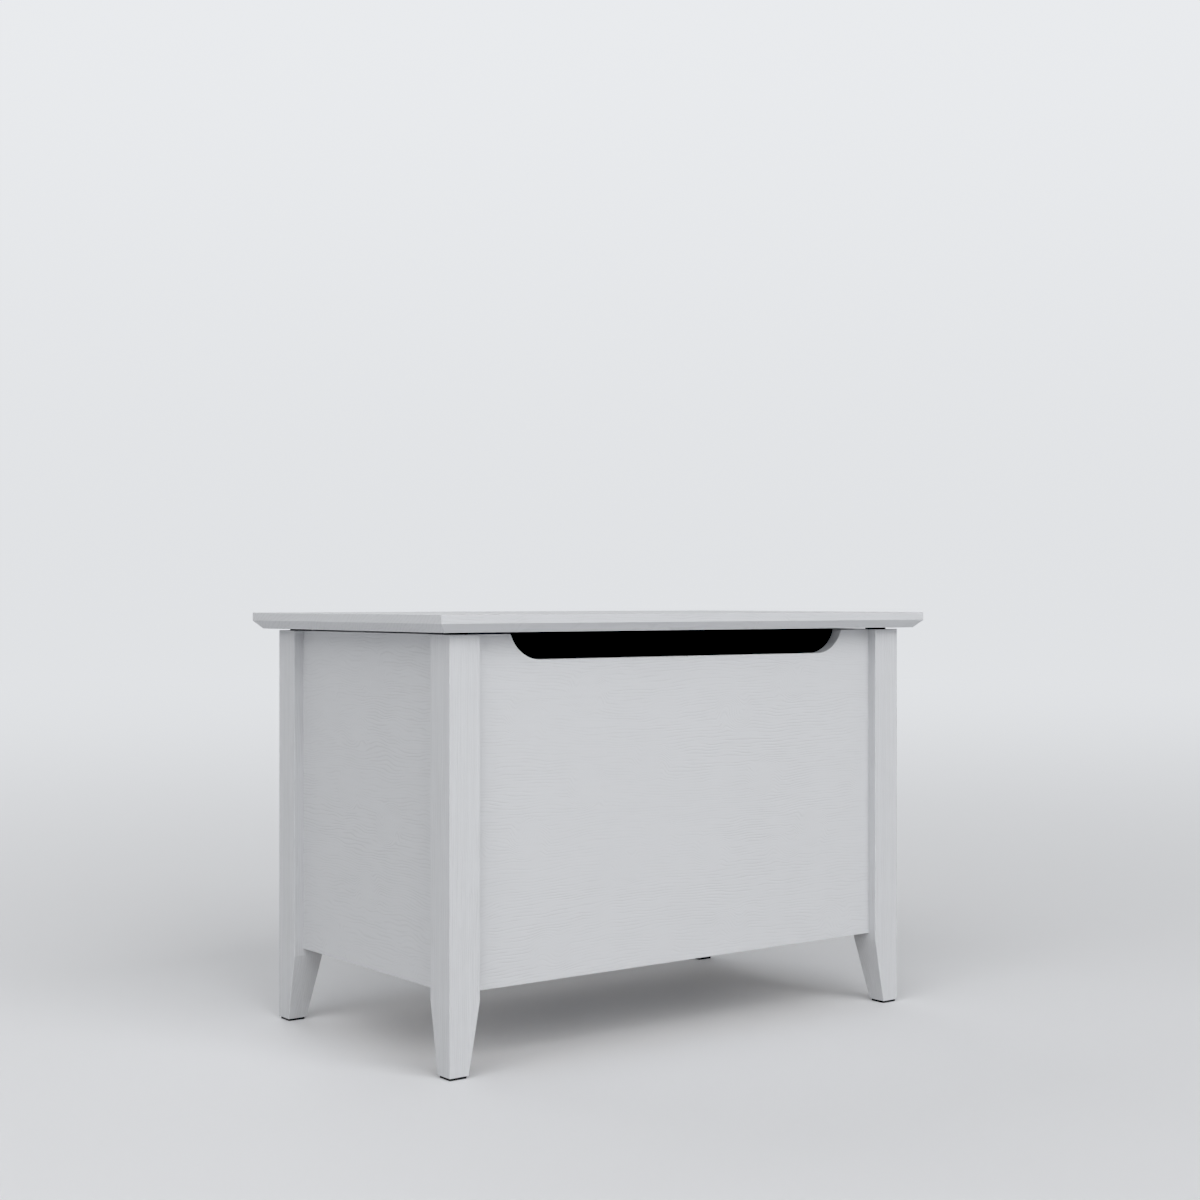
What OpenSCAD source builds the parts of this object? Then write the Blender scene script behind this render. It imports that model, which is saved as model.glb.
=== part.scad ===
// Wooden toy box on four tapered legs, with a hinged lid and two sliding lid stays.
// Millimetres. The origin lies on the floor under the middle of the lid.
// X runs to the right along the front, Y runs from the front to the back, Z is up.

/* [Box] */
// Width over the outer faces of the legs
frame_w = 660; // [620:5:760]
// Depth over the outer faces of the legs
frame_d = 378; // [360:2:440]
// Height of the top of the legs and panels
frame_h = 463.8; // [445:0.1:520]
// Thickness of the four upright panels
panel_t = 15; // [14:0.5:16]
// Distance from a leg's outer face to the face of the front and side panels
panel_inset = 12; // [10:1:14]
// Height of the lower edge of the panels
panel_bottom = 87; // [84:1:92]
// Thickness of the floor panel
floor_t = 9; // [6:1:12]
// Side of the square cleats under the floor panel
cleat_side = 15; // [13:1:16]

/* [Legs] */
// Side of the square leg
leg_side = 38; // [36:1:42]
// Side of the leg at its foot
foot_side = 24; // [22:1:30]
// Height at which the taper of the leg starts
taper_h = 79; // [60:1:82]
// Thickness of the glide under each leg
glide_t = 2.4; // [1.5:0.1:4]
// Distance from the leg's foot edge to the glide's edge
glide_inset = 1.5; // [1:0.5:3]

/* [Lid] */
// Distance by which the lid overhangs the legs at each side
overhang_side = 24; // [18:1:30]
// Distance by which the lid overhangs the legs at the front and at the back
overhang_front = 22; // [18:1:28]
// Thickness of the lid
lid_t = 19; // [17:0.5:22]
// Height and depth of the 45 degree bevel under the lid's edge
lid_bevel = 9.5; // [6:0.5:11]
// Height of the gap between the box and the lid
lid_gap = 2.2; // [2.2:0.1:4]
// Angle at which the lid is fully open
lid_open = 85; // [70:1:88]

/* [Handle slot] */
// Width of the slot in the front panel, between its rounded ends
slot_w = 494; // [400:2:500]
// Depth of the slot below the panel's top edge
slot_depth = 28; // [22:1:36]
// Radius of the slot's lower corners
slot_r = 41; // [30:1:60]

/* [Hinges] */
// Distance of each hinge's middle from the middle of the box
hinge_x = 250; // [150:5:250]
// Length of a hinge
hinge_len = 72; // [50:2:76]
// Width of a hinge leaf
leaf_w = 25; // [22:1:28]
// Thickness of a hinge leaf
leaf_t = 1.5; // [1.2:0.1:1.8]
// Outer radius of a hinge knuckle
knuckle_r = 3; // [2.8:0.1:3.2]
// Radius of a hinge pin
hinge_pin_r = 1.45; // [1.3:0.05:1.6]

/* [Lid stays] */
// Distance of a stay's two pivots from the hinge axis
stay_reach = 125; // [115:1:130]
// Height of the stay's lid pivot below the hinge axis
stay_drop = 12.5; // [11:0.5:14]
// Angle of the stay's stud below the hinge axis
stud_angle = 26; // [24:0.5:30]
// Width of the stay's slotted arm
arm_w = 16; // [14:1:18]
// Thickness of the stay's sheet metal
stay_t = 2; // [1.6:0.2:2.2]
// Radius of the stay's clamping knob
knob_r = 13; // [11:0.5:14]

/* [Fittings] */
// Heights of the cam locks
cam_heights = [140, 410]; // [100:1:430]
// Heights of the dowels
dowel_heights = [182, 368]; // [165:1:385]
// Radius of a cam lock's disc
cam_r = 7.4; // [7:0.1:7.6]
// Distance of a cam lock's middle from the end of the panel
cam_distance = 24; // [22:1:34]
// Radius of a dowel
dowel_r = 4; // [3:0.5:4]

/* [Hidden] */
$fn = 64;

paint = "#C8CACD";
raw_wood = "#C9AC7E";
black = "#17181A";
zinc = "#B4B7BA";
nylon = "#E4E2DA";

// Radius of the eased edges of legs and of boards
leg_ease = 0.8;
board_ease = 0.6;
lid_ease = 0.7;
// Clearance round a fastener in its hole, and reach of a cut past a face
fit_gap = 0.1;
past = 1;

// Planes of the frame
leg_x = frame_w / 2;
leg_y = frame_d / 2;
leg_in_x = leg_x - leg_side;
leg_in_y = leg_y - leg_side;
side_face_x = leg_x - panel_inset;
side_in_x = side_face_x - panel_t;
side_mid_x = side_face_x - panel_t / 2;
front_face_y = -leg_y + panel_inset;
front_in_y = front_face_y + panel_t;
front_mid_y = front_face_y + panel_t / 2;
back_in_y = leg_y - panel_t;
back_mid_y = leg_y - panel_t / 2;
panel_h = frame_h - panel_bottom;
cleat_bottom = panel_bottom + 5;
floor_bottom = cleat_bottom + cleat_side;
cleat_end_gap = 15;

// Rounding of a glide's corners, and its pin, pressed up into the leg
glide_corner = 1.5;
glide_pin_r = 2.5;
glide_pin_h = 12;

// Planes of the lid
lid_bottom = frame_h + lid_gap;
lid_w = frame_w + 2 * overhang_side;
lid_d = frame_d + 2 * overhang_front;
bumper_r = 12.5;

// Hinge axis: the knuckle stands clear of the back panel and of the lid
knuckle_gap = 0.3;
axis_y = leg_y + knuckle_r + knuckle_gap;
axis_z = lid_bottom - knuckle_r - knuckle_gap;
hinge_pin_gap = 0.05;
// Length of each outer knuckle and of the middle knuckle, with a small gap between them
knuckle_space = 0.3;
outer_knuckle = hinge_len * 0.3;
middle_knuckle = hinge_len - 2 * outer_knuckle - 2 * knuckle_space;
leaf_screw_pitch = hinge_len / 3;

// Lid stay: lid pivot and stud lie at the same distance from the hinge axis, so the slotted arm
// turns by half of the lid's angle
drop_angle = asin(stay_drop / stay_reach);
lid_pivot_y = axis_y - stay_reach * cos(drop_angle);
lid_pivot_z = axis_z - stay_drop;
stud_y = axis_y - stay_reach * cos(stud_angle);
stud_z = axis_z - stay_reach * sin(stud_angle);
arm_tilt = (drop_angle + stud_angle) / 2;
reach_closed = 2 * stay_reach * sin((stud_angle - drop_angle) / 2);
reach_open = 2 * stay_reach * sin((lid_open - drop_angle + stud_angle) / 2);
stud_r = 2.45;
slot_play = 0.25;
rivet_r = 2.5;
rivet_gap = 0.06;
washer_t = 1;
washer_r = 9;
slide_gap = 0.1;
plate_w = 30;
plate_h = 52;
plate_screw_z = 19;
bracket_flange = 24;
bracket_len = 40;
bracket_screw_y = 13;
bracket_screw_x = 14;
knob_h = 12;
// Length of the stud in the knob, and beyond the side plate: two washers, the arm and the knob
knob_thread = 8;
stud_len = 2 * washer_t + stay_t + 2 * slide_gap + knob_thread;

// Sides of the stay's layers, from the side panel towards the middle of the box
plate_x = side_in_x;
washer_x = plate_x - stay_t;
arm_x = washer_x - washer_t - slide_gap;
outer_washer_x = arm_x - stay_t - slide_gap;
bracket_x = outer_washer_x;
knob_x = outer_washer_x - washer_t;

// Knock-down joints between legs and panels
cam_h = 12.2;
cam_bore_depth = 12.5;
bolt_leg_depth = 11;
bolt_r = 3;
bolt_bore_r = 4;
bolt_neck_r = 2;
bolt_head_r = 3.2;
dowel_leg = 12;
dowel_panel = 18;

// Screws: shank radius, head radius and length
hinge_screw = [1.5, 2.9, 13];
stay_screw = [1.7, 3.4, 13];
cleat_screw = [1.8, 3.6, 25];
floor_screw = [1.7, 3.4, 20];
long_cleat_screw_x = [70, 225];
long_floor_screw_x = [0, 150];
short_cleat_screw_y = [75];
short_floor_screw_y = [0];

function unit(v) = v / norm(v);
function flat(p) = [p[0], p[1]];

// Points of one corner of an outline, rounded by an arc of the corner's radius
function corner_arc(before, corner, after, steps) =
    let (
        a = unit(flat(before) - flat(corner)),
        b = unit(flat(after) - flat(corner)),
        half = acos(a * b) / 2,
        centre = flat(corner) + unit(a + b) * corner[2] / sin(half),
        first = flat(corner) + a * corner[2] / tan(half) - centre,
        start = atan2(first[1], first[0]),
        turn = (a[0] * b[1] - a[1] * b[0] < 0 ? 1 : -1) * (180 - 2 * half)
    )
    [
        for (k = [0 : steps])
            let (angle = start + turn * k / steps)
                centre + corner[2] * [cos(angle), sin(angle)]
    ];

// Outline whose corners are given as [x, y, radius]
function rounded(corners, steps = 4) =
    let (n = len(corners))
    [
        for (i = [0 : n - 1])
            let (c = corners[i], before = corners[(i + n - 1) % n], after = corners[(i + 1) % n])
                for (p = c[2] > 0 ? corner_arc(before, c, after, steps) : [flat(c)])
                    p
    ];

function rounded_rect(w, h, r) = rounded([[0, 0, r], [w, 0, r], [w, h, r], [0, h, r]]);

// Extrudes a cross-section drawn in Y and Z along X, centred on the middle of the box
module along_x(length) {
    translate([-length / 2, 0, 0])
        rotate([90, 0, 90])
            linear_extrude(length)
                children();
}

// Extrudes a cross-section drawn in X and Z along Y, centred on the middle of the box
module along_y(length) {
    translate([0, length / 2, 0])
        rotate([90, 0, 0])
            linear_extrude(length)
                children();
}

// Mirrors a shape made for the left side to the right side, or from the front to the back
module on_side(side) {
    mirror([side > 0 ? 1 : 0, 0, 0])
        children();
}

module at_end(end) {
    mirror([0, end > 0 ? 1 : 0, 0])
        children();
}

// End of the front or back panel at a leg: +Z runs into the panel, +X into the box, +Y is up
module at_long_end(side, end) {
    on_side(side)
        translate([-leg_in_x, end < 0 ? front_mid_y : back_mid_y, 0])
            at_end(end)
                rotate([90, 0, 90])
                    children();
}

// End of a side panel at a leg: +Z runs into the panel, +X into the box, +Y is up
module at_short_end(side, end) {
    on_side(side)
        at_end(end)
            translate([-side_mid_x, -leg_in_y, 0])
                mirror([0, 0, 1])
                    rotate([-90, 0, 0])
                        children();
}

// Countersunk screw whose head is flush with Z = 0 and whose tip points to -Z
module screw(size) {
    r = size[0];
    head_r = size[1];
    length = size[2];
    tip = 2 * r;
    rotate_extrude()
        polygon([
            [0, -length],
            [r, -length + tip],
            [r, r - head_r],
            [head_r, 0],
            [0, 0]
        ]);
}

// Hole for the same screw: the shank with its clearance and the countersink, open above Z = 0
module screw_hole(size) {
    r = size[0] + fit_gap;
    head_r = size[1] + fit_gap;
    length = size[2] + fit_gap;
    rotate_extrude()
        polygon([
            [0, -length],
            [r, -length],
            [r, r - head_r],
            [head_r, 0],
            [head_r, past],
            [0, past]
        ]);
}

module cross_recess(reach, depth) {
    for (turn = [0, 90])
        rotate([0, 0, turn])
            translate([-reach, -reach / 6, -depth])
                cube([2 * reach, reach / 3, depth + past]);
}

module driven_screw(size) {
    difference() {
        screw(size);
        cross_recess(size[1] * 0.55, size[1] * 0.35);
    }
}

// Holes of a panel-to-leg joint, on the leg's side and on the panel's side
module leg_joint_holes() {
    for (z = cam_heights)
        translate([0, z, -bolt_leg_depth])
            cylinder(r = bolt_r + fit_gap, h = bolt_leg_depth + past);
    for (z = dowel_heights)
        translate([0, z, -dowel_leg - fit_gap])
            cylinder(r = dowel_r + fit_gap, h = dowel_leg + fit_gap + past);
}

module panel_joint_holes() {
    for (z = cam_heights) {
        translate([0, z, -past])
            cylinder(r = bolt_bore_r, h = cam_distance + past);
        translate([panel_t / 2 - cam_bore_depth, z, cam_distance])
            rotate([0, 90, 0])
                cylinder(r = cam_r + fit_gap, h = cam_bore_depth + past);
    }
    for (z = dowel_heights)
        translate([0, z, -past])
            cylinder(r = dowel_r + fit_gap, h = dowel_panel + fit_gap + past);
}

// Cuts away everything beyond the plane through a point that faces a direction
module cut_off(point, direction) {
    d = unit(direction);
    size = 200;
    translate(point)
        rotate([0, acos(d[2]), atan2(d[1], d[0])])
            translate([-size / 2, -size / 2, 0])
                cube([size, size, size / 4]);
}

// Rounds the edge at a point where two faces meet, by planes that touch an arc of radius r
module ease_edge(point, face_a, face_b, r, planes) {
    centre = point - (face_a + face_b) * r / (1 + face_a * face_b);
    for (k = [1 : planes]) {
        facing = unit(face_a * (planes + 1 - k) + face_b * k);
        cut_off(centre + facing * r, facing);
    }
}

// The front left leg: its two inner faces taper towards the foot
module leg_blank() {
    rise = taper_h - glide_t;
    run = leg_side - foot_side;
    taper_x = unit([rise, 0, -run]);
    taper_y = unit([0, rise, -run]);
    foot = [foot_side, foot_side, glide_t];
    outer_foot = [0, 0, glide_t];
    outer_top = [0, 0, frame_h];
    inner_top = [leg_side, leg_side, frame_h];
    up = [0, 0, 1];
    planes = 3;
    translate([-leg_x, -leg_y, 0])
        difference() {
            translate(outer_foot)
                linear_extrude(frame_h - glide_t)
                    polygon(rounded_rect(leg_side, leg_side, leg_ease));
            cut_off(foot, taper_x);
            cut_off(foot, taper_y);
            ease_edge(foot, taper_x, taper_y, leg_ease, planes);
            ease_edge([foot_side, 0, glide_t], taper_x, [0, -1, 0], leg_ease, planes);
            ease_edge([0, foot_side, glide_t], taper_y, [-1, 0, 0], leg_ease, planes);
            for (face = [taper_x, taper_y])
                ease_edge(foot, face, -up, leg_ease, 1);
            for (face = [[-1, 0, 0], [0, -1, 0]]) {
                ease_edge(outer_foot, face, -up, leg_ease, 1);
                ease_edge(outer_top, face, up, leg_ease, 1);
                ease_edge(inner_top, -face, up, leg_ease, 1);
            }
        }
}

module leg(side, end) {
    color(paint)
        difference() {
            on_side(side)
                at_end(end)
                    leg_blank();
            at_long_end(side, end)
                leg_joint_holes();
            at_short_end(side, end)
                leg_joint_holes();
            at_foot(side, end)
                translate([0, 0, glide_t - past])
                    cylinder(r = glide_pin_r + fit_gap, h = glide_pin_h + past + fit_gap);
        }
}

// Middle of the foot of a leg
module at_foot(side, end) {
    translate([side * (leg_x - foot_side / 2), end * (leg_y - foot_side / 2), 0])
        children();
}

module foot_glide(side, end) {
    w = foot_side - 2 * glide_inset;
    color(black)
        at_foot(side, end) {
            translate([-w / 2, -w / 2, 0])
                linear_extrude(glide_t)
                    polygon(rounded_rect(w, w, glide_corner));
            translate([0, 0, glide_t / 2])
                cylinder(r = glide_pin_r, h = glide_pin_h + glide_t / 2);
        }
}

module lid_bumper(side, end) {
    edge = 0.5;
    color(black)
        translate([side * (leg_x - leg_side / 2), end * (leg_y - leg_side / 2), frame_h])
            rotate_extrude()
                polygon([
                    [0, 0],
                    [bumper_r, 0],
                    [bumper_r, lid_gap - edge],
                    [bumper_r - edge, lid_gap],
                    [0, lid_gap]
                ]);
}

// Outline of the handle slot, grown evenly by a distance, open past the panel's top edge
module slot_outline(grow) {
    w = slot_w + 2 * grow;
    top = slot_depth + slot_r;
    r = slot_r + grow;
    translate([-w / 2, frame_h - slot_depth - grow])
        polygon(rounded([[0, 0, r], [w, 0, r], [w, top + grow, 0], [0, top + grow, 0]], 24));
}

module slot_slice(y, grow) {
    translate([0, y, 0])
        rotate([90, 0, 0])
            linear_extrude(0.01)
                slot_outline(grow);
}

// The handle slot flares by a small rounding at both faces of the panel
module slot_flare(face_y, inward) {
    hull() {
        slot_slice(face_y, board_ease);
        slot_slice(face_y + inward * board_ease * 0.3, board_ease * 0.3);
    }
    hull() {
        slot_slice(face_y + inward * board_ease * 0.3, board_ease * 0.3);
        slot_slice(face_y + inward * board_ease, 0);
    }
}

module handle_slot() {
    translate([0, front_in_y + past, 0])
        rotate([90, 0, 0])
            linear_extrude(panel_t + 2 * past)
                slot_outline(0);
    slot_flare(front_face_y, 1);
    slot_flare(front_in_y, -1);
}

module long_panel_blank(y) {
    along_x(2 * leg_in_x)
        translate([y, panel_bottom])
            polygon(rounded_rect(panel_t, panel_h, board_ease));
}

module front_panel() {
    color(paint)
        difference() {
            long_panel_blank(front_face_y);
            handle_slot();
            for (side = [-1, 1])
                at_long_end(side, -1)
                    panel_joint_holes();
            at_long_cleat_screws(-1)
                screw_hole(cleat_screw);
        }
}

module back_panel() {
    color(paint)
        difference() {
            long_panel_blank(back_in_y);
            for (side = [-1, 1])
                at_long_end(side, 1)
                    panel_joint_holes();
            at_long_cleat_screws(1)
                screw_hole(cleat_screw);
            for (side = [-1, 1])
                at_box_leaf_screws(side)
                    screw_hole(hinge_screw);
        }
}

module side_panel(side) {
    color(paint)
        difference() {
            along_y(2 * leg_in_y)
                translate([side < 0 ? -side_face_x : side_in_x, panel_bottom])
                    polygon(rounded_rect(panel_t, panel_h, board_ease));
            for (end = [-1, 1])
                at_short_end(side, end)
                    panel_joint_holes();
            at_short_cleat_screws(side)
                screw_hole(cleat_screw);
            at_side_plate_screws(side)
                screw_hole(stay_screw);
        }
}

// The floor panel is notched round the legs and lies on the cleats
module floor_panel() {
    play = 0.5;
    half_w = side_in_x - play;
    notch_x = leg_in_x - play;
    notch_y = leg_in_y - play;
    front = front_in_y + play;
    back = back_in_y - play;
    color(paint)
        difference() {
            translate([0, 0, floor_bottom])
                linear_extrude(floor_t)
                    polygon([
                        [-notch_x, front], [notch_x, front], [notch_x, -notch_y], [half_w, -notch_y],
                        [half_w, notch_y], [notch_x, notch_y], [notch_x, back], [-notch_x, back],
                        [-notch_x, notch_y], [-half_w, notch_y], [-half_w, -notch_y], [-notch_x, -notch_y]
                    ]);
            at_floor_screws()
                screw_hole(floor_screw);
        }
}

// Screws through the cleats into the front or back panel: tip towards the panel
module at_long_cleat_screws(end) {
    face = end < 0 ? front_in_y + cleat_side : back_in_y - cleat_side;
    for (x = long_cleat_screw_x, side = [-1, 1])
        translate([side * x, face, cleat_bottom + cleat_side / 2])
            rotate([end < 0 ? -90 : 90, 0, 0])
                children();
}

module at_short_cleat_screws(side) {
    for (y = short_cleat_screw_y, end = [-1, 1])
        translate([side * (side_in_x - cleat_side), end * y, cleat_bottom + cleat_side / 2])
            rotate([0, side < 0 ? 90 : -90, 0])
                children();
}

// Screws down through the floor panel into the cleats
module at_floor_screws() {
    long_x = [-long_floor_screw_x[1], long_floor_screw_x[0], long_floor_screw_x[1]];
    for (x = long_x, y = [front_in_y + cleat_side / 2, back_in_y - cleat_side / 2])
        translate([x, y, floor_bottom + floor_t])
            children();
    for (y = short_floor_screw_y, side = [-1, 1])
        translate([side * (side_in_x - cleat_side / 2), y, floor_bottom + floor_t])
            children();
}

module long_cleat(end) {
    length = 2 * (leg_in_x - cleat_end_gap);
    color(raw_wood)
        difference() {
            along_x(length)
                translate([end < 0 ? front_in_y : back_in_y - cleat_side, cleat_bottom])
                    polygon(rounded_rect(cleat_side, cleat_side, board_ease));
            at_long_cleat_screws(end)
                screw_hole(cleat_screw);
            at_floor_screws()
                screw_hole(floor_screw);
        }
}

module short_cleat(side) {
    length = 2 * (leg_in_y - cleat_end_gap);
    color(raw_wood)
        difference() {
            along_y(length)
                translate([side < 0 ? -side_in_x : side_in_x - cleat_side, cleat_bottom])
                    polygon(rounded_rect(cleat_side, cleat_side, board_ease));
            at_short_cleat_screws(side)
                screw_hole(cleat_screw);
            at_floor_screws()
                screw_hole(floor_screw);
        }
}

// Cross-section of the lid, bevelled underneath at both ends
module lid_section(w) {
    bevel_ease = lid_ease;
    translate([0, lid_bottom])
        polygon(rounded([
            [-w / 2 + lid_bevel, 0, bevel_ease],
            [w / 2 - lid_bevel, 0, bevel_ease],
            [w / 2, lid_bevel, bevel_ease],
            [w / 2, lid_t, lid_ease],
            [-w / 2, lid_t, lid_ease],
            [-w / 2, lid_bevel, bevel_ease]
        ]));
}

module lid_panel() {
    color(paint)
        difference() {
            intersection() {
                along_y(lid_d)
                    lid_section(lid_w);
                along_x(lid_w)
                    lid_section(lid_d);
                translate([-lid_w / 2, -lid_d / 2, lid_bottom - past])
                    linear_extrude(lid_t + 2 * past)
                        polygon(rounded_rect(lid_w, lid_d, lid_ease));
            }
            for (side = [-1, 1]) {
                at_lid_leaf_screws(side)
                    screw_hole(hinge_screw);
                at_lid_bracket_screws(side)
                    screw_hole(stay_screw);
            }
        }
}

module at_hinge_axis(side) {
    translate([side * hinge_x, axis_y, axis_z])
        children();
}

// Knuckle centred on the hinge axis; pin_bore() cuts the hole for its pin
module knuckle(start, length) {
    translate([start, 0, 0])
        rotate([0, 90, 0])
            cylinder(r = knuckle_r, h = length);
}

module pin_bore() {
    translate([-hinge_len, 0, 0])
        rotate([0, 90, 0])
            cylinder(r = hinge_pin_r + hinge_pin_gap, h = 2 * hinge_len);
}

// Three screw positions of a leaf, the middle one set back
module leaf_screw_row() {
    for (k = [-1, 0, 1])
        translate([k * leaf_screw_pitch, 0, leaf_w * (k == 0 ? 0.48 : 0.7)])
            children();
}

// Box leaf on the back face of the back panel: screws run forwards
module at_box_leaf_screws(side) {
    translate([side * hinge_x, leg_y + leaf_t, axis_z])
        rotate([180, 0, 0])
            leaf_screw_row()
                rotate([90, 0, 0])
                    children();
}

// Lid leaf under the lid: screws run up
module at_lid_leaf_screws(side) {
    translate([side * hinge_x, axis_y, lid_bottom - leaf_t])
        rotate([90, 0, 0])
            leaf_screw_row()
                rotate([90, 0, 0])
                    children();
}

module hinge_box_leaf(side) {
    notch = middle_knuckle + 2 * knuckle_space;
    clear = knuckle_r + knuckle_gap;
    color(zinc)
        difference() {
            union() {
                translate([side * hinge_x - hinge_len / 2, leg_y + leaf_t, axis_z - leaf_w])
                    rotate([90, 0, 0])
                        linear_extrude(leaf_t)
                            polygon(rounded([
                                [0, 0, 3], [hinge_len, 0, 3], [hinge_len, leaf_w, 0], [0, leaf_w, 0]
                            ]));
                at_hinge_axis(side) {
                    knuckle(-hinge_len / 2, outer_knuckle);
                    knuckle(hinge_len / 2 - outer_knuckle, outer_knuckle);
                }
            }
            translate([side * hinge_x - notch / 2, leg_y - past, axis_z - clear])
                cube([notch, 2 * clear + past, 2 * clear]);
            at_hinge_axis(side)
                pin_bore();
            at_box_leaf_screws(side)
                screw_hole(hinge_screw);
        }
}

module hinge_lid_leaf(side) {
    clear = knuckle_r + knuckle_gap;
    notch = outer_knuckle + knuckle_space + past;
    notch_mid = hinge_len / 2 + past - notch / 2;
    color(zinc)
        difference() {
            union() {
                translate([side * hinge_x - hinge_len / 2, axis_y - leaf_w, lid_bottom - leaf_t])
                    linear_extrude(leaf_t)
                        polygon(rounded([
                            [0, 0, 3], [hinge_len, 0, 3], [hinge_len, leaf_w, 0], [0, leaf_w, 0]
                        ]));
                at_hinge_axis(side)
                    knuckle(-middle_knuckle / 2, middle_knuckle);
            }
            at_hinge_axis(side)
                for (k = [-1, 1])
                    translate([k * notch_mid - notch / 2, -clear, -clear])
                        cube([notch, 2 * clear, 2 * clear + past]);
            at_hinge_axis(side)
                pin_bore();
            at_lid_leaf_screws(side)
                screw_hole(hinge_screw);
        }
}

module hinge_pin(side) {
    head_t = 0.9;
    head_r = 2.2;
    end = hinge_len / 2;
    color(zinc)
        at_hinge_axis(side)
            rotate([0, 90, 0])
                rotate_extrude()
                    polygon([
                        [0, -end - head_t],
                        [head_r - 0.4, -end - head_t],
                        [head_r, -end - head_t + 0.4],
                        [head_r, -end],
                        [hinge_pin_r, -end],
                        [hinge_pin_r, end],
                        [head_r, end],
                        [head_r, end + head_t - 0.4],
                        [head_r - 0.4, end + head_t],
                        [0, end + head_t]
                    ]);
}

// The stays are drawn for the left side, as layers from the side panel inwards, and mirrored.
// A layer is an outline in Y and Z, extruded from the plane x towards the middle of the box.
module stay_layer(x, thickness) {
    translate([-x, 0, 0])
        rotate([90, 0, 90])
            linear_extrude(thickness)
                children();
}

module stay_rod(x, length, r) {
    translate([-x, 0, 0])
        rotate([0, 90, 0])
            cylinder(r = r, h = length);
}

module at_stud() {
    translate([0, stud_y, stud_z])
        children();
}

module at_lid_pivot() {
    translate([0, lid_pivot_y, lid_pivot_z])
        children();
}

module at_side_plate_screws(side) {
    on_side(side)
        at_stud()
            for (k = [-1, 1])
                translate([-plate_x + stay_t, 0, k * plate_screw_z])
                    rotate([0, 90, 0])
                        children();
}

module at_lid_bracket_screws(side) {
    on_side(side)
        for (k = [-1, 1])
            translate([-bracket_x + bracket_screw_x, lid_pivot_y + k * bracket_screw_y, lid_bottom - stay_t])
                rotate([180, 0, 0])
                    children();
}

module side_plate(side) {
    color(zinc)
        difference() {
            on_side(side)
                at_stud()
                    union() {
                        stay_layer(plate_x, stay_t)
                            translate([-plate_w / 2, -plate_h / 2])
                                polygon(rounded_rect(plate_w, plate_h, 8));
                        stay_rod(plate_x - stay_t / 2, stay_t / 2 + stud_len, stud_r);
                    }
            at_side_plate_screws(side)
                screw_hole(stay_screw);
        }
}

module lid_bracket(side) {
    up = lid_bottom - lid_pivot_z;
    tongue = 9;
    color(zinc)
        difference() {
            on_side(side)
                union() {
                    at_lid_pivot()
                        stay_layer(bracket_x, stay_t)
                            polygon(rounded([
                                [-bracket_len / 2, up, 0],
                                [-bracket_len / 2, up - 4, 2],
                                [-tongue, -tongue, 8],
                                [tongue, -tongue, 8],
                                [bracket_len / 2, up - 4, 2],
                                [bracket_len / 2, up, 0]
                            ]));
                    translate([-bracket_x, lid_pivot_y - bracket_len / 2, lid_bottom - stay_t])
                        linear_extrude(stay_t)
                            polygon(rounded([
                                [0, 0, 0], [bracket_flange, 0, 5],
                                [bracket_flange, bracket_len, 5], [0, bracket_len, 0]
                            ]));
                }
            on_side(side)
                at_lid_pivot()
                    stay_rod(bracket_x + past, stay_t + 2 * past, rivet_r + rivet_gap);
            at_lid_bracket_screws(side)
                screw_hole(stay_screw);
        }
}

// Slotted arm, hung from the lid pivot; the slot runs from the closed to the open place of the stud
module stay_arm(side) {
    slot_half = stud_r + slot_play;
    near = -reach_closed + slot_play + slot_half;
    far = -reach_open - slot_play - slot_half;
    tip = far - arm_w / 2;
    color(zinc)
        on_side(side)
            at_lid_pivot()
                rotate([arm_tilt, 0, 0])
                    difference() {
                        stay_layer(arm_x, stay_t)
                            difference() {
                                translate([-arm_w / 2, tip])
                                    polygon(rounded_rect(arm_w, arm_w / 2 - tip, arm_w * 0.49));
                                translate([-slot_half, far])
                                    polygon(rounded_rect(2 * slot_half, near - far, slot_half * 0.99));
                            }
                        stay_rod(arm_x + past, stay_t + 2 * past, rivet_r + rivet_gap);
                    }
}

module stay_rivet(side) {
    head_r = 4.5;
    head_t = 1;
    shank = 2 * stay_t + 2 * slide_gap;
    outer = -head_t;
    inner = shank + head_t;
    color(zinc)
        on_side(side)
            at_lid_pivot()
                translate([-arm_x - slide_gap / 2, 0, 0])
                    rotate([0, 90, 0])
                        rotate_extrude()
                            polygon([
                                [0, outer], [head_r - 0.5, outer], [head_r, outer + 0.5], [head_r, 0],
                                [rivet_r, 0], [rivet_r, shank],
                                [head_r, shank], [head_r, inner - 0.5], [head_r - 0.5, inner], [0, inner]
                            ]);
}

module stay_washers(side) {
    color(nylon)
        on_side(side)
            at_stud()
                for (x = [washer_x, outer_washer_x])
                    difference() {
                        stay_rod(x, washer_t, washer_r);
                        stay_rod(x + past, washer_t + 2 * past, stud_r + fit_gap);
                    }
}

// Fluted clamping knob with a blind thread bore and a domed rim
module stay_knob(side) {
    flutes = 8;
    edge = 1.5;
    color(black)
        on_side(side)
            at_stud()
                difference() {
                    translate([-knob_x, 0, 0])
                        rotate([0, 90, 0])
                            difference() {
                                rotate_extrude()
                                    polygon([
                                        [0, 0], [knob_r - 4, 0], [knob_r - 4, 3], [knob_r, 3.6],
                                        [knob_r, knob_h - edge], [knob_r - edge, knob_h], [0, knob_h]
                                    ]);
                                for (k = [1 : flutes])
                                    rotate([0, 0, 360 * k / flutes])
                                        translate([knob_r + 1.6, 0, 3])
                                            cylinder(r = 3.2, h = knob_h);
                            }
                    stay_rod(knob_x + past, knob_thread + past + fit_gap, stud_r + fit_gap);
                }
}

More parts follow.
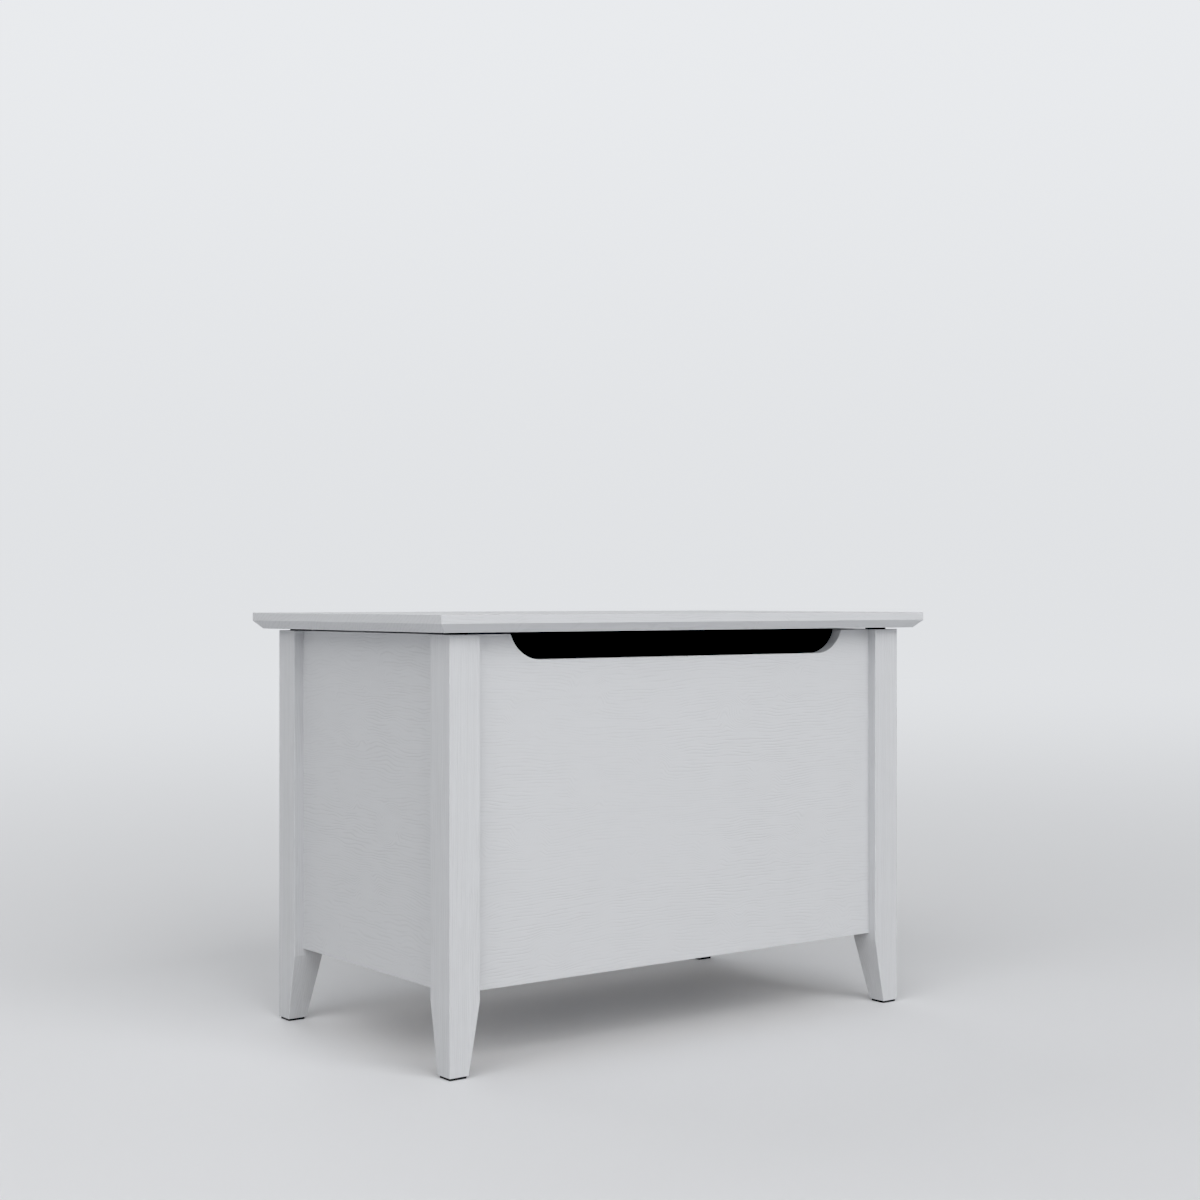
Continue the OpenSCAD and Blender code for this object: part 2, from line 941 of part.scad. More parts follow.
module hinge_screws_box() {
    color(zinc)
        for (side = [-1, 1])
            at_box_leaf_screws(side)
                driven_screw(hinge_screw);
}

module hinge_screws_lid() {
    color(zinc)
        for (side = [-1, 1])
            at_lid_leaf_screws(side)
                driven_screw(hinge_screw);
}

module stay_screws_box() {
    color(zinc)
        for (side = [-1, 1])
            at_side_plate_screws(side)
                driven_screw(stay_screw);
}

module stay_screws_lid() {
    color(zinc)
        for (side = [-1, 1])
            at_lid_bracket_screws(side)
                driven_screw(stay_screw);
}

module at_all_panel_ends() {
    for (side = [-1, 1], end = [-1, 1]) {
        at_long_end(side, end)
            children();
        at_short_end(side, end)
            children();
    }
}

// Cam disc in the panel's inner face, bored for the head of the cam bolt
module cam_lock() {
    difference() {
        translate([panel_t / 2 - cam_h - fit_gap, 0, cam_distance])
            rotate([0, 90, 0])
                cylinder(r = cam_r, h = cam_h);
        translate([0, 0, cam_distance - cam_r - past])
            cylinder(r = bolt_head_r + 0.4, h = cam_r + past + 1.5);
        translate([panel_t / 2 - fit_gap, 0, cam_distance])
            rotate([0, 90, 0])
                cross_recess(4.5, 1.8);
    }
}

module cam_locks() {
    color(zinc)
        at_all_panel_ends()
            for (z = cam_heights)
                translate([0, z, 0])
                    cam_lock();
}

// Cam bolt: thread in the leg, collar and neck in the panel, and a head in the cam
module cam_bolt() {
    rotate_extrude()
        polygon([
            [0, -bolt_leg_depth + fit_gap],
            [bolt_r - 0.7, -bolt_leg_depth + fit_gap],
            [bolt_r, -bolt_leg_depth + 0.8],
            [bolt_r, 0],
            [bolt_bore_r - 0.4, 0],
            [bolt_bore_r - 0.4, 1.5],
            [bolt_neck_r, 2.5],
            [bolt_neck_r, cam_distance - 4],
            [bolt_head_r, cam_distance - 3],
            [bolt_head_r, cam_distance - 0.8],
            [bolt_head_r - 0.8, cam_distance],
            [0, cam_distance]
        ]);
}

module cam_bolts() {
    color(zinc)
        at_all_panel_ends()
            for (z = cam_heights)
                translate([0, z, 0])
                    cam_bolt();
}

module dowels() {
    edge = 1;
    color(raw_wood)
        at_all_panel_ends()
            for (z = dowel_heights)
                translate([0, z, 0])
                    rotate_extrude()
                        polygon([
                            [0, -dowel_leg],
                            [dowel_r - edge, -dowel_leg],
                            [dowel_r, -dowel_leg + edge],
                            [dowel_r, dowel_panel - edge],
                            [dowel_r - edge, dowel_panel],
                            [0, dowel_panel]
                        ]);
}

module cleat_screws() {
    color(zinc) {
        for (end = [-1, 1])
            at_long_cleat_screws(end)
                driven_screw(cleat_screw);
        for (side = [-1, 1])
            at_short_cleat_screws(side)
                driven_screw(cleat_screw);
    }
}

module floor_screws() {
    color(zinc)
        at_floor_screws()
            driven_screw(floor_screw);
}

leg(-1, -1);  // leg_front_left
leg(1, -1);  // leg_front_right
leg(-1, 1);  // leg_back_left
leg(1, 1);  // leg_back_right
foot_glide(-1, -1);  // foot_glide_front_left
foot_glide(1, -1);  // foot_glide_front_right
foot_glide(-1, 1);  // foot_glide_back_left
foot_glide(1, 1);  // foot_glide_back_right
lid_bumper(-1, -1);  // lid_bumper_front_left
lid_bumper(1, -1);  // lid_bumper_front_right
lid_bumper(-1, 1);  // lid_bumper_back_left
lid_bumper(1, 1);  // lid_bumper_back_right
front_panel();
back_panel();
side_panel(-1);  // left_panel
side_panel(1);  // right_panel
floor_panel();
long_cleat(-1);  // floor_cleat_front
long_cleat(1);  // floor_cleat_back
short_cleat(-1);  // floor_cleat_left
short_cleat(1);  // floor_cleat_right
lid_panel();
hinge_box_leaf(-1);  // hinge_left_box_leaf
hinge_lid_leaf(-1);  // hinge_left_lid_leaf
hinge_pin(-1);  // hinge_left_pin
hinge_box_leaf(1);  // hinge_right_box_leaf
hinge_lid_leaf(1);  // hinge_right_lid_leaf
hinge_pin(1);  // hinge_right_pin
side_plate(-1);  // stay_left_side_plate
lid_bracket(-1);  // stay_left_lid_bracket
stay_arm(-1);  // stay_left_arm
stay_rivet(-1);  // stay_left_rivet
stay_washers(-1);  // stay_left_washers
stay_knob(-1);  // stay_left_knob
side_plate(1);  // stay_right_side_plate
lid_bracket(1);  // stay_right_lid_bracket
stay_arm(1);  // stay_right_arm
stay_rivet(1);  // stay_right_rivet
stay_washers(1);  // stay_right_washers
stay_knob(1);  // stay_right_knob
hinge_screws_box();
hinge_screws_lid();
stay_screws_box();
stay_screws_lid();
cam_locks();
cam_bolts();
dowels();
cleat_screws();
floor_screws();
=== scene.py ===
import math

import bpy
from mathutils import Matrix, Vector


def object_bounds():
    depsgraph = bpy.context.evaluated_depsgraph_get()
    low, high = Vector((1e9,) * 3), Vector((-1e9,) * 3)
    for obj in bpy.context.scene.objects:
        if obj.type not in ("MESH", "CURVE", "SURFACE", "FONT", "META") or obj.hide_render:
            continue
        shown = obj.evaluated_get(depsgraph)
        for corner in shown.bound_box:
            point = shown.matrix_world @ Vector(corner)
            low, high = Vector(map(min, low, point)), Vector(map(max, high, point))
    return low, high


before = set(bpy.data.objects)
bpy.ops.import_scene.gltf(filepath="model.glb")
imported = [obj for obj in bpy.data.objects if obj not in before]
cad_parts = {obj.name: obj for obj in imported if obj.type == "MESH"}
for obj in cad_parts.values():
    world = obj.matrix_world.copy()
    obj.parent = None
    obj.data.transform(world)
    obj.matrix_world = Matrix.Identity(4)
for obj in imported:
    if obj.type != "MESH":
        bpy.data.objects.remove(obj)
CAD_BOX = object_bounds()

# Wooden toy box: the CAD pieces carry every shape, and this script gives them their finish,
# and sets the floor, the light and the camera. Metres, +Z up, the front faces -Y.

MM = 0.001
FULL_TURN = 2 * math.pi

# Colours in linear light
PAINT = (0.610, 0.617, 0.631)
UNDERCOAT = (0.47, 0.44, 0.40)
PINE_LATE, PINE_EARLY = (0.50, 0.33, 0.17), (0.68, 0.50, 0.30)
BEECH_LATE, BEECH_EARLY = (0.48, 0.31, 0.18), (0.62, 0.44, 0.27)
ZINC_SHEET = (0.62, 0.63, 0.64)
ZINC_SCREW = (0.60, 0.61, 0.62)
ZINC_CAST = (0.42, 0.43, 0.45)
BLACK_PLASTIC = (0.012, 0.012, 0.013)
BLACK_RUBBER = (0.008, 0.008, 0.008)
WHITE_NYLON = (0.70, 0.69, 0.64)
PALE_FLOOR = (0.763, 0.770, 0.786)
BACKDROP = (0.754, 0.767, 0.786)

# Noise in painted wood, in steps per metre along the grain, across it and through the board
DRIFT = (3.0, 7.0, 7.0)
RIPPLE = (20.0, 44.0, 44.0)
BREAKS = (28.0, 180.0, 180.0)
PATCHES = (5.0, 14.0, 14.0)
CLUSTERS = (0.0, 70.0, 30.0)
PAINTED_FIBRE = (7.0, 420.0, 420.0)
PAINT_CLOUD = (7.0, 9.0, 9.0)
HANDLED = (36.0, 36.0, 36.0)

# The same for bare wood, and the size of its pores
RING_BEND = (2.5, 22.0, 22.0)
BARE_FIBRE = (60.0, 900.0, 900.0)
PORE_LENGTH, PORE_WIDTH = 9 * MM, 0.35 * MM

# The same for plated steel, for moulded plastic and rubber, and for the floor
ROLLING = 60.0
PLATING_CLOUD = (110.0, 110.0, 110.0)
SCRATCHES = (240.0, 2600.0, 1500.0)
RUBBED = (60.0, 60.0, 60.0)
FLOOR_CLOUD = (1.3, 1.3, 1.3)

# Knots: their spacing and scatter, then in spacings from a knot's middle how far the whirl and
# the fading reach, and how clear the lines stay in the middle
KNOT_SPACING = 84 * MM
KNOT_SCATTER = 0.6
WHIRL_CORE, WHIRL_REACH = 0.04, 0.36
FADE_CORE, FADE_REACH = 0.06, 0.34
KNOT_FADE = 0.35

# Growth lines: the ripple's share of the wander, the noise between which they come and go,
# and how faint their gaps and their weak patches get
RIPPLE_SHARE = 0.22
GAP_LOW, GAP_HIGH = 0.34, 0.62
FAINTEST_GAP, FAINTEST_PATCH = 0.15, 0.55

# End cuts: how squarely one faces along the grain, how fast its growth lines bend away along
# the grain, how dense they are, and how faint and how strong
END_FROM, END_FULL = 0.40, 0.65
END_CURL = -0.9
END_DENSITY = 0.62
END_FAINT, END_STRONG = 0.2, 0.65

# Satin paint: the shades of its grooves and its flats, and the most that it is rubbed thin
GROOVE_SHADE, FLAT_SHADE = 0.935, 1.014
GROOVE_DEPTH = 0.10 * MM
MOST_WORN = 0.22
PAINT_ROUGHNESS = 0.42
PAINT_IOR = 1.46

BARE_DEPTH = 0.12 * MM
BARE_ROUGHNESS = 0.62
PLATING_DEPTH = 0.02 * MM

# How far from an edge each kind of surface is rubbed
PAINT_EDGE, STEEL_EDGE, MOULDED_EDGE = 0.9 * MM, 0.35 * MM, 0.4 * MM

# Cosine between the rounded and the true normal: still flat, and on the edge itself
ON_FLAT, ON_EDGE = 0.998, 0.90
EDGE_SAMPLES = 4

STAGE_RADIUS = 14.0
STAGE_SIDES = 96
FLOOR_ROUGHNESS = 0.7
BACKDROP_FOOT = -1.0
# Painted light on the backdrop: its glow grows this much brighter towards the top, over this
# height
BACKDROP_LIFT, BACKDROP_LIFT_HEIGHT = 1.09, 6.0

# Distances from the box's middle where the floor starts and ends to melt into the backdrop.
# It follows 1 / (distance + ease).
MELT_START, MELT_END, MELT_EASE = 0.8, 10.0, 2.0

# Strength of the air's light at the horizon and above, the rises between which it grows, its tint
AIR_LOW, AIR_HIGH = 0.045, 0.306
AIR_RISE_LOW, AIR_RISE_HIGH = 0.08, 0.45
AIR_TINT = (0.985, 0.993, 1.0)

# Light panels: turn from the front towards the left, height above the floor (degrees), watts
PANEL_DISTANCE = 8.0
PANEL_SIDE = 6.0
PANELS = [
    ("front", 0, 33, 334.0),
    ("corner", 60, 40, 216.0),
    ("left", 92, 15, 48.0),
    ("back", 180, 35, 99.0),
]

# Camera: its place, its turn in degrees, and its sensor and lens in millimetres
EYE = (-1.3926, -1.8542, 0.500)
EYE_TURN = -37.073
SENSOR_WIDTH = 36.0
LENS = 56.93
FARTHEST_SEEN = 500.0

# Light below this level turns black in the tone curve
BLACK_LEVEL = 0.03


class Graph:
    """A material's nodes, with one short call for each kind that is used here."""

    def __init__(self, name):
        self.material = bpy.data.materials.new(name)
        self.material.use_nodes = True
        self.tree = self.material.node_tree
        self.tree.nodes.clear()
        self.output = self.tree.nodes.new("ShaderNodeOutputMaterial")
        self.coordinates = self.tree.nodes.new("ShaderNodeTexCoord")

    def put(self, socket, value):
        """Links a socket to another, or sets it to a plain value."""
        if isinstance(value, bpy.types.NodeSocket):
            self.tree.links.new(value, socket)
        else:
            socket.default_value = value

    def node(self, kind, settings=None, inputs=None):
        made = self.tree.nodes.new("ShaderNode" + kind)
        for key, value in (settings or {}).items():
            setattr(made, key, value)
        for key, value in (inputs or {}).items():
            self.put(made.inputs[key], value)
        return made

    def math(self, operation, *values, clamp=False):
        made = self.node("Math", {"operation": operation, "use_clamp": clamp})
        for socket, value in zip(made.inputs, values):
            self.put(socket, value)
        return made.outputs[0]

    def product(self, first, second):
        return self.math("MULTIPLY", first, second)

    def scaled(self, value, factor, plus, clamp=False):
        """The value times a factor, plus something."""
        return self.math("MULTIPLY_ADD", value, factor, plus, clamp=clamp)

    def split(self, vector):
        """The three parts of a vector."""
        return self.node("SeparateXYZ", inputs={"Vector": vector}).outputs

    def axes(self, order):
        """The place in the object's frame: along the grain, across it, through the board."""
        place = self.split(self.coordinates.outputs["Object"])
        return [place[letter] for letter in order]

    def stretched(self, uvw, scales, shift):
        """A texture vector whose three directions are scaled on their own."""
        parts = [self.scaled(c, s, d) for c, s, d in zip(uvw, scales, shift)]
        made = self.node("CombineXYZ", inputs=dict(zip("XYZ", parts)))
        return made.outputs[0]

    def noise(self, uvw, scales, detail, seed=0.0, shift=(0.0, 0.0)):
        """Soft noise. The seed and the shift keep one field apart from the next."""
        made = self.node("TexNoise", inputs={
            "Vector": self.stretched(uvw, scales, (seed, *shift)),
            "Scale": 1.0,
            "Detail": detail,
        })
        return made.outputs["Fac"]

    def spread(self, value, low, high, to_low=0.0, to_high=1.0):
        """Maps low..high to to_low..to_high, smoothly and without passing either end."""
        made = self.node("MapRange", {"interpolation_type": "SMOOTHSTEP"}, {
            "Value": value,
            "From Min": low,
            "From Max": high,
            "To Min": to_low,
            "To Max": to_high,
        })
        return made.outputs["Result"]

    def blend(self, factor, first, second):
        """A colour between two colours or colour sockets, by a factor from 0 to 1."""
        made = self.node("Mix", {"data_type": "RGBA"})
        self.put(made.inputs["Factor"], factor)
        colours = [socket for socket in made.inputs if socket.type == "RGBA"]
        self.put(colours[0], first)
        self.put(colours[1], second)
        return next(socket for socket in made.outputs if socket.type == "RGBA")

    def tint(self, factor, first, second):
        """A colour between two plain colours."""
        return self.blend(factor, (*first, 1.0), (*second, 1.0))

    def bump(self, height, distance):
        made = self.node("Bump", inputs={"Height": height, "Distance": distance, "Strength": 1.0})
        return made.outputs["Normal"]

    def facing(self, axis):
        """How squarely the surface faces along an axis: 0 along it, 1 straight at it."""
        return self.math("ABSOLUTE", self.split(self.coordinates.outputs["Normal"])[axis])

    def edge(self, reach):
        """How near an edge the place lies: 0 on the flat, 1 on the edge itself."""
        rounded = self.node("Bevel", {"samples": EDGE_SAMPLES}, {"Radius": reach})
        true = self.node("NewGeometry")
        likeness = self.node("VectorMath", {"operation": "DOT_PRODUCT"}, {
            0: rounded.outputs["Normal"],
            1: true.outputs["Normal"],
        })
        return self.spread(likeness.outputs["Value"], ON_FLAT, ON_EDGE)

    def finish(self, inputs):
        shader = self.node("BsdfPrincipled", inputs=inputs)
        self.put(self.output.inputs["Surface"], shader.outputs["BSDF"])
        return self.material


def times(colour, factor):
    return tuple(c * factor for c in colour)


def whirled(g, uvw, most, seed):
    """The place across the grain, turned about scattered knots so that lines drawn across it
    whirl round them, and how clear the lines are: they fade towards each knot's middle."""
    scale = 1 / KNOT_SPACING
    flat = g.stretched(uvw, (scale, scale, 0.0), (seed, seed, 0.0))
    cells = g.node("TexVoronoi", {"voronoi_dimensions": "2D", "feature": "F1"}, {
        "Vector": flat,
        "Scale": 1.0,
        "Randomness": KNOT_SCATTER,
    })
    away = cells.outputs["Distance"]
    luck = g.split(cells.outputs["Color"])["X"]
    most_here = g.scaled(luck, 2 * most, -most)
    turn = g.product(g.spread(away, WHIRL_CORE, WHIRL_REACH, 1.0, 0.0), most_here)
    turned = g.node("VectorRotate", {"rotation_type": "Z_AXIS"}, {
        "Vector": flat,
        "Center": cells.outputs["Position"],
        "Angle": turn,
    })
    across = g.product(g.split(turned.outputs[0])["Y"], KNOT_SPACING)
    clear = g.spread(away, FADE_CORE, FADE_REACH, KNOT_FADE, 1.0)
    return across, clear


def grain_lines(g, uvw, end, pitch, wave, whirl, lean, seed):
    """Growth lines along the grain: they wander, whirl round scattered knots, and fade in
    places. On an end cut across the grain they curl away through the board."""
    drift = g.noise(uvw, DRIFT, 1.0, seed)
    ripple = g.noise(uvw, RIPPLE, 1.0, seed, (3.0, 0.0))
    across, clear = whirled(g, uvw, whirl, seed)
    depth = g.scaled(g.product(end, uvw[0]), END_CURL, g.product(uvw[2], lean))
    density = g.scaled(end, (END_DENSITY - 1.0) / pitch, 1.0 / pitch)
    phase = g.product(g.math("ADD", across, depth), density)
    phase = g.scaled(drift, wave, phase)
    phase = g.scaled(ripple, RIPPLE_SHARE * wave, phase)
    line = g.spread(g.math("SINE", g.product(phase, FULL_TURN)), 0.0, 1.0)
    broken = g.noise(uvw, BREAKS, 1.0, seed, (11.0, 0.0))
    patch = g.noise(uvw, PATCHES, 1.0, seed, (17.0, 0.0))
    dashes = g.spread(broken, GAP_LOW, GAP_HIGH, FAINTEST_GAP, 1.0)
    patches = g.spread(patch, GAP_LOW, GAP_HIGH, FAINTEST_PATCH, 1.0)
    strength = g.product(g.product(dashes, patches), clear)
    clusters = g.noise(uvw, CLUSTERS, 1.0, seed, (23.0, 0.0))
    cut = g.product(end, g.spread(clusters, 0.36, 0.66, END_FAINT, END_STRONG))
    return g.product(line, g.math("MAXIMUM", strength, cut))


def pores(g, uvw, seed):
    """Fine open pores: short dashes along the grain."""
    scales = (1 / PORE_LENGTH, 1 / PORE_WIDTH, 1 / PORE_WIDTH)
    return g.spread(g.noise(uvw, scales, 1.0, seed, (0.0, 5.0)), 0.54, 0.70)


def painted_wood(name, order, pitch, seed, wave=12.0, whirl=1.5, lean=0.35, streaks=0.10,
                 contrast=0.72):
    """Satin paint over open-grained wood: the lines of the grain show as fine shallow grooves."""
    g = Graph(name)
    uvw = g.axes(order)
    end = g.spread(g.facing(order[0]), END_FROM, END_FULL)
    line = grain_lines(g, uvw, end, pitch, wave, whirl, lean, seed)
    fibre = g.spread(g.noise(uvw, PAINTED_FIBRE, 2.0, seed, (0.0, 5.0)), 0.30, 0.70)
    along = g.math("SUBTRACT", 1.0, end)
    groove = g.scaled(g.product(fibre, along), streaks, line)
    cloud = g.noise(uvw, PAINT_CLOUD, 3.0, seed, (1.0, 2.0))
    tone = g.scaled(groove, -contrast, g.scaled(cloud, 0.30, 0.82), clamp=True)
    edge = g.edge(PAINT_EDGE)
    handled = g.spread(g.noise(uvw, HANDLED, 3.0, seed, (4.0, 8.0)), 0.46, 0.66)
    worn = g.product(g.product(edge, handled), MOST_WORN)
    paint = g.tint(tone, times(PAINT, GROOVE_SHADE), times(PAINT, FLAT_SHADE))
    rough = g.scaled(groove, 0.10, g.scaled(cloud, 0.10, PAINT_ROUGHNESS))
    return g.finish({
        "Base Color": g.blend(worn, paint, (*UNDERCOAT, 1.0)),
        "Roughness": g.scaled(edge, -0.08, rough),
        "Normal": g.bump(g.product(groove, -1.0), GROOVE_DEPTH),
        "IOR": PAINT_IOR,
    })


def bare_wood(name, order, late, early, pitch, seed):
    """Planed wood with no finish: early and late wood in bands, and short pores."""
    g = Graph(name)
    uvw = g.axes(order)
    bend = g.noise(uvw, RING_BEND, 2.0, seed)
    rings = g.math("DIVIDE", g.math("ADD", uvw[1], g.product(uvw[2], 0.6)), pitch)
    swing = g.math("SINE", g.product(g.scaled(bend, 5.0, rings), FULL_TURN))
    band = g.spread(swing, -0.2, 1.0)
    pore = pores(g, uvw, seed)
    fibre = g.noise(uvw, BARE_FIBRE, 2.0, seed, (2.0, 0.0))
    tone = g.scaled(fibre, 0.35, g.product(band, 0.6), clamp=True)
    return g.finish({
        "Base Color": g.tint(tone, early, late),
        "Roughness": g.scaled(fibre, 0.15, BARE_ROUGHNESS),
        "Normal": g.bump(g.scaled(pore, -0.6, fibre), BARE_DEPTH),
    })


def plated_steel(name, order, colour, roughness, streaks):
    """Zinc-plated steel: faint rolling streaks, a cloudy plating and small scratches."""
    g = Graph(name)
    uvw = g.axes(order)
    streak = g.noise(uvw, (ROLLING, streaks, streaks), 3.0)
    cloud = g.noise(uvw, PLATING_CLOUD, 3.0)
    scratch = g.spread(g.noise(uvw, SCRATCHES, 1.0), 0.62, 0.70)
    tone = g.scaled(streak, 0.5, g.product(cloud, 0.5), clamp=True)
    edge = g.edge(STEEL_EDGE)
    bright = g.scaled(edge, 0.45, tone, clamp=True)
    rough = g.scaled(edge, -0.08, g.scaled(cloud, 0.22, roughness - 0.11))
    return g.finish({
        "Base Color": g.tint(bright, times(colour, 0.82), times(colour, 1.14)),
        "Metallic": 1.0,
        "Roughness": g.scaled(scratch, 0.12, rough),
        "Normal": g.bump(g.scaled(scratch, -0.5, streak), PLATING_DEPTH),
    })


def moulded(name, colour, roughness, grit, relief, gloss=0.5):
    """Moulded plastic or rubber with the fine texture of its tool."""
    g = Graph(name)
    uvw = g.axes("XYZ")
    texture = g.noise(uvw, (grit, grit, grit), 2.0)
    rub = g.noise(uvw, RUBBED, 3.0)
    edge = g.edge(MOULDED_EDGE)
    worn = g.scaled(edge, 0.35, rub, clamp=True)
    rough = g.scaled(rub, 0.22, roughness - 0.11)
    return g.finish({
        "Base Color": g.tint(worn, times(colour, 0.75), times(colour, 1.35)),
        "Roughness": g.scaled(edge, -0.10, rough),
        "Specular IOR Level": gloss,
        "Normal": g.bump(texture, relief),
    })


def long_panel_paint(name, seed):
    return painted_wood(name, "XZY", 3.5 * MM, seed, contrast=0.60)


def side_panel_paint(name, seed):
    return painted_wood(name, "YZX", 3.7 * MM, seed, wave=18.0, whirl=2.0, contrast=0.80)


def materials():
    """Each finish with the start of the names that it goes to. The first match counts."""
    front = long_panel_paint("paint_front", seed=1.7)
    back = long_panel_paint("paint_back", seed=6.3)
    left = side_panel_paint("paint_left", seed=3.1)
    right = side_panel_paint("paint_right", seed=9.4)
    leg = painted_wood("paint_leg", "ZXY", 3.0 * MM, seed=4.6, wave=9.0, whirl=0.5, lean=0.9,
                       streaks=0.6)
    lid = painted_wood("paint_lid", "XYZ", 5.3 * MM, seed=8.8, lean=1.67)
    floor = painted_wood("paint_floor", "XYZ", 4.0 * MM, seed=2.2)
    pine_long = bare_wood("pine_long", "XYZ", PINE_LATE, PINE_EARLY, 2.6 * MM, seed=1.0)
    pine_short = bare_wood("pine_short", "YXZ", PINE_LATE, PINE_EARLY, 2.6 * MM, seed=4.0)
    beech = bare_wood("beech", "XYZ", BEECH_LATE, BEECH_EARLY, 1.4 * MM, seed=2.0)
    sheet = plated_steel("zinc_sheet", "ZYX", ZINC_SHEET, 0.34, 1400.0)
    screw = plated_steel("zinc_screw", "XYZ", ZINC_SCREW, 0.28, 900.0)
    cast = plated_steel("zinc_cast", "XYZ", ZINC_CAST, 0.46, 300.0)
    plastic = moulded("black_plastic", BLACK_PLASTIC, 0.52, 1800.0, 0.05 * MM)
    rubber = moulded("black_rubber", BLACK_RUBBER, 0.80, 2600.0, 0.04 * MM, gloss=0.12)
    nylon = moulded("white_nylon", WHITE_NYLON, 0.42, 1500.0, 0.02 * MM)
    return [
        ("leg_", leg),
        ("foot_glide_", plastic),
        ("lid_bumper_", rubber),
        ("front_panel", front),
        ("back_panel", back),
        ("left_panel", left),
        ("right_panel", right),
        ("floor_panel", floor),
        ("floor_cleat_front", pine_long),
        ("floor_cleat_back", pine_long),
        ("floor_cleat_", pine_short),
        ("lid_panel", lid),
        ("hinge_screws", screw),
        ("hinge_", sheet),
        ("stay_screws", screw),
        ("stay_left_washers", nylon),
        ("stay_right_washers", nylon),
        ("stay_left_knob", plastic),
        ("stay_right_knob", plastic),
        ("stay_", sheet),
        ("cam_locks", cast),
        ("cam_bolts", screw),
        ("dowels", beech),
        ("cleat_screws", screw),
        ("floor_screws", screw),
    ]


def paint_nodes():
    """Gives every CAD node its own procedural finish."""
    finishes = materials()
    for name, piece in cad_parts.items():
        finish = next(material for start, material in finishes if name.startswith(start))
        piece.data.materials.clear()
        piece.data.materials.append(finish)


def stage_piece(name, points, faces, material):
    mesh = bpy.data.meshes.new(name)
    mesh.from_pydata(points, [], faces)
    mesh.materials.append(material)
    piece = bpy.data.objects.new(name, mesh)
    bpy.context.scene.collection.objects.link(piece)
    return piece


def ring(height):
    """Points of a level circle about the box, at the edge of the stage."""
    turns = [FULL_TURN * k / STAGE_SIDES for k in range(STAGE_SIDES)]
    return [(STAGE_RADIUS * math.cos(t), STAGE_RADIUS * math.sin(t), height) for t in turns]


def studio_floor():
    """A plain pale floor that melts into the backdrop a few metres away from the box."""
    g = Graph("studio_floor")
    reach = g.node("VectorMath", {"operation": "LENGTH"}, {0: g.coordinates.outputs["Object"]})
    nearness = g.math("DIVIDE", 1.0, g.math("ADD", reach.outputs["Value"], MELT_EASE))
    far = g.spread(nearness, 1 / (MELT_START + MELT_EASE), 1 / (MELT_END + MELT_EASE))
    cloud = g.noise(g.axes("XYZ"), FLOOR_CLOUD, 2.0)
    paint = g.node("BsdfPrincipled", inputs={
        "Base Color": g.tint(cloud, times(PALE_FLOOR, 0.99), times(PALE_FLOOR, 1.01)),
        "Roughness": FLOOR_ROUGHNESS,
    })
    air = g.node("Emission", inputs={"Color": (*BACKDROP, 1.0)})
    melt = g.node("MixShader", inputs={
        0: far,
        1: paint.outputs["BSDF"],
        2: air.outputs["Emission"],
    })
    g.put(g.output.inputs["Surface"], melt.outputs["Shader"])
    stage_piece("studio_floor", ring(0), [range(STAGE_SIDES)], g.material)


def studio_backdrop():
    """A pale round wall at the floor's edge, which the camera sees. It glows with its own light,
    painted a little brighter towards the top. It casts no shadow and gives no diffuse light."""
    g = Graph("studio_backdrop")
    # A painted gradient of light: the backdrop's glow brightens towards the top
    glow_rise = g.spread(g.axes("Z")[0], 0.0, BACKDROP_LIFT_HEIGHT)
    colour = g.tint(glow_rise, BACKDROP, times(BACKDROP, BACKDROP_LIFT))
    air = g.node("Emission", inputs={"Color": colour})
    g.put(g.output.inputs["Surface"], air.outputs["Emission"])
    walls = []
    for k in range(STAGE_SIDES):
        after = (k + 1) % STAGE_SIDES
        walls.append((k, after, STAGE_SIDES + after, STAGE_SIDES + k))
    points = ring(BACKDROP_FOOT) + ring(STAGE_RADIUS)
    backdrop = stage_piece("studio_backdrop", points, walls, g.material)
    backdrop.visible_diffuse = False
    backdrop.visible_shadow = False


def direction(turn, height):
    """The direction turned from the front towards the left, and raised above the floor."""
    turn = math.radians(turn)
    height = math.radians(height)
    level = math.cos(height)
    return Vector((-math.sin(turn) * level, -math.cos(turn) * level, math.sin(height)))


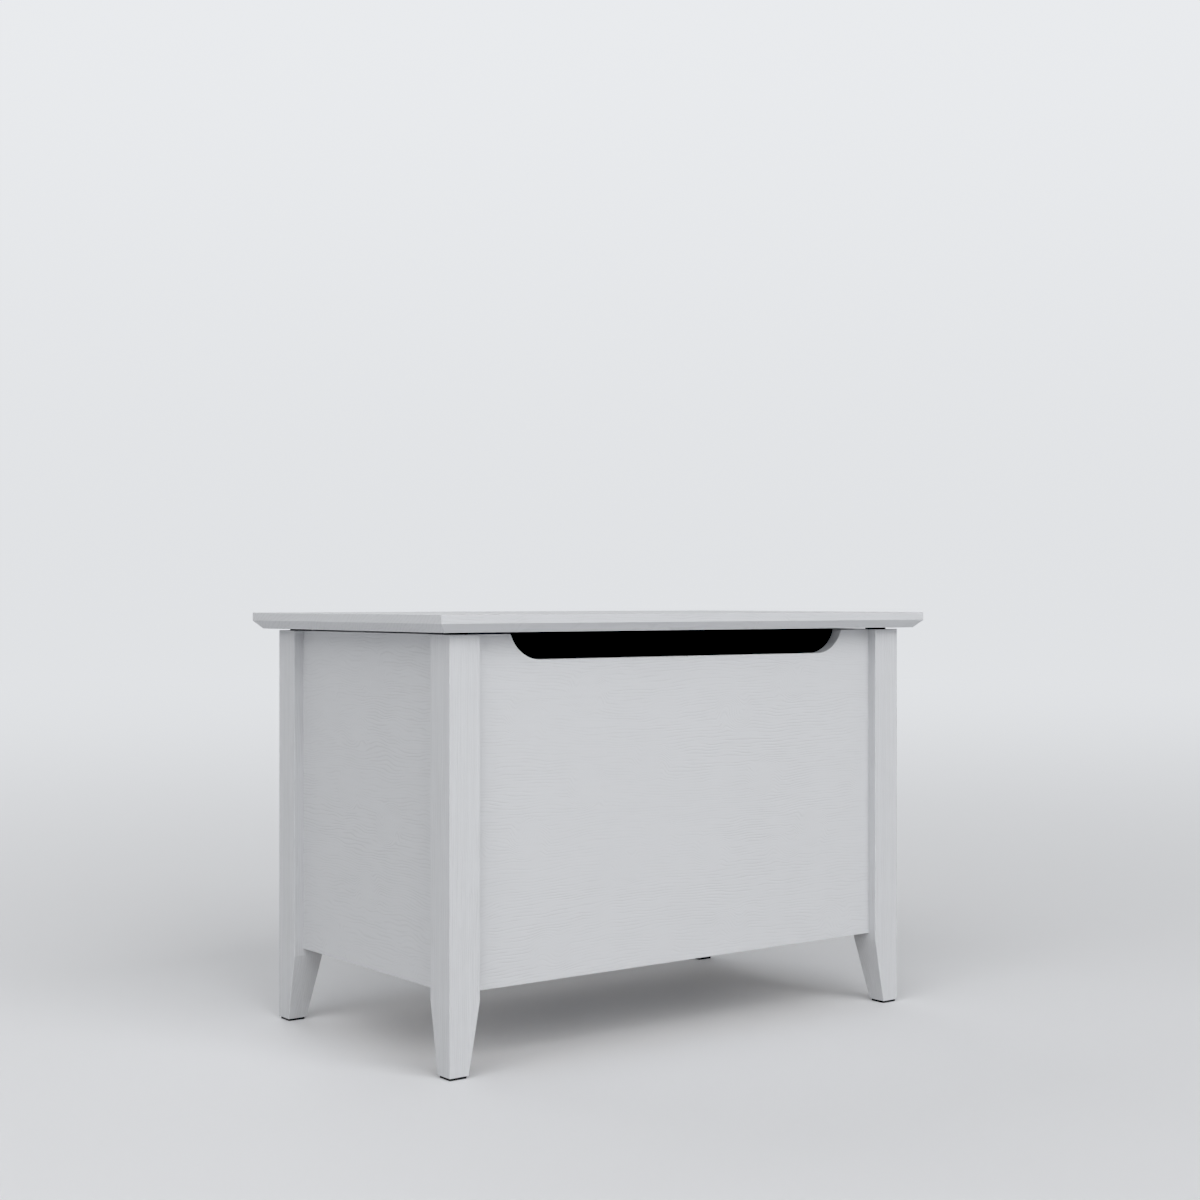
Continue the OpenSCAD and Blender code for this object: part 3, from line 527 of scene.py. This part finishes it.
def soft_light(name, way, power):
    """A square light panel that faces the box from the direction of way."""
    light = bpy.data.lights.new(name, "AREA")
    light.shape = "SQUARE"
    light.size = PANEL_SIDE
    light.energy = power
    lamp = bpy.data.objects.new(name, light)
    lamp.location = (CAD_BOX[0] + CAD_BOX[1]) / 2 + PANEL_DISTANCE * way
    lamp.rotation_mode = "QUATERNION"
    lamp.rotation_quaternion = way.to_track_quat("Z", "Y")
    lamp.visible_camera = False
    bpy.context.scene.collection.objects.link(lamp)


def studio_air():
    """Soft even light from above the box, fading out towards the horizon."""
    world = bpy.data.worlds.new("studio_air")
    world.use_nodes = True
    tree = world.node_tree
    place = tree.nodes.new("ShaderNodeTexCoord")
    height = tree.nodes.new("ShaderNodeSeparateXYZ")
    rise = tree.nodes.new("ShaderNodeMapRange")
    rise.interpolation_type = "SMOOTHSTEP"
    rise.inputs["From Min"].default_value = AIR_RISE_LOW
    rise.inputs["From Max"].default_value = AIR_RISE_HIGH
    rise.inputs["To Min"].default_value = AIR_LOW
    rise.inputs["To Max"].default_value = AIR_HIGH
    background = tree.nodes["Background"]
    background.inputs["Color"].default_value = (*AIR_TINT, 1.0)
    tree.links.new(place.outputs["Generated"], height.inputs["Vector"])
    tree.links.new(height.outputs["Z"], rise.inputs["Value"])
    tree.links.new(rise.outputs["Result"], background.inputs["Strength"])
    bpy.context.scene.world = world


def studio_light():
    """Soft air and four large panels: in front, in front to the left, on the left and behind."""
    studio_air()
    for name, turn, height, power in PANELS:
        soft_light(name, direction(turn, height), power)


def photo_camera():
    """A level camera, half a metre up, turned to see the front and the left side."""
    data = bpy.data.cameras.new("camera")
    data.sensor_width = SENSOR_WIDTH
    data.lens = LENS
    data.clip_end = FARTHEST_SEEN
    camera = bpy.data.objects.new("camera", data)
    camera.location = EYE
    camera.rotation_euler = (math.radians(90), 0, math.radians(EYE_TURN))
    bpy.context.scene.collection.objects.link(camera)
    bpy.context.scene.camera = camera


def tone_curve():
    """Plain colours, with the black point a little raised."""
    view = bpy.context.scene.view_settings
    view.view_transform = "Standard"
    view.use_curve_mapping = True
    view.curve_mapping.black_level = (BLACK_LEVEL, BLACK_LEVEL, BLACK_LEVEL)
    view.curve_mapping.update()


photo_camera()
paint_nodes()
studio_floor()
studio_backdrop()
studio_light()
tone_curve()
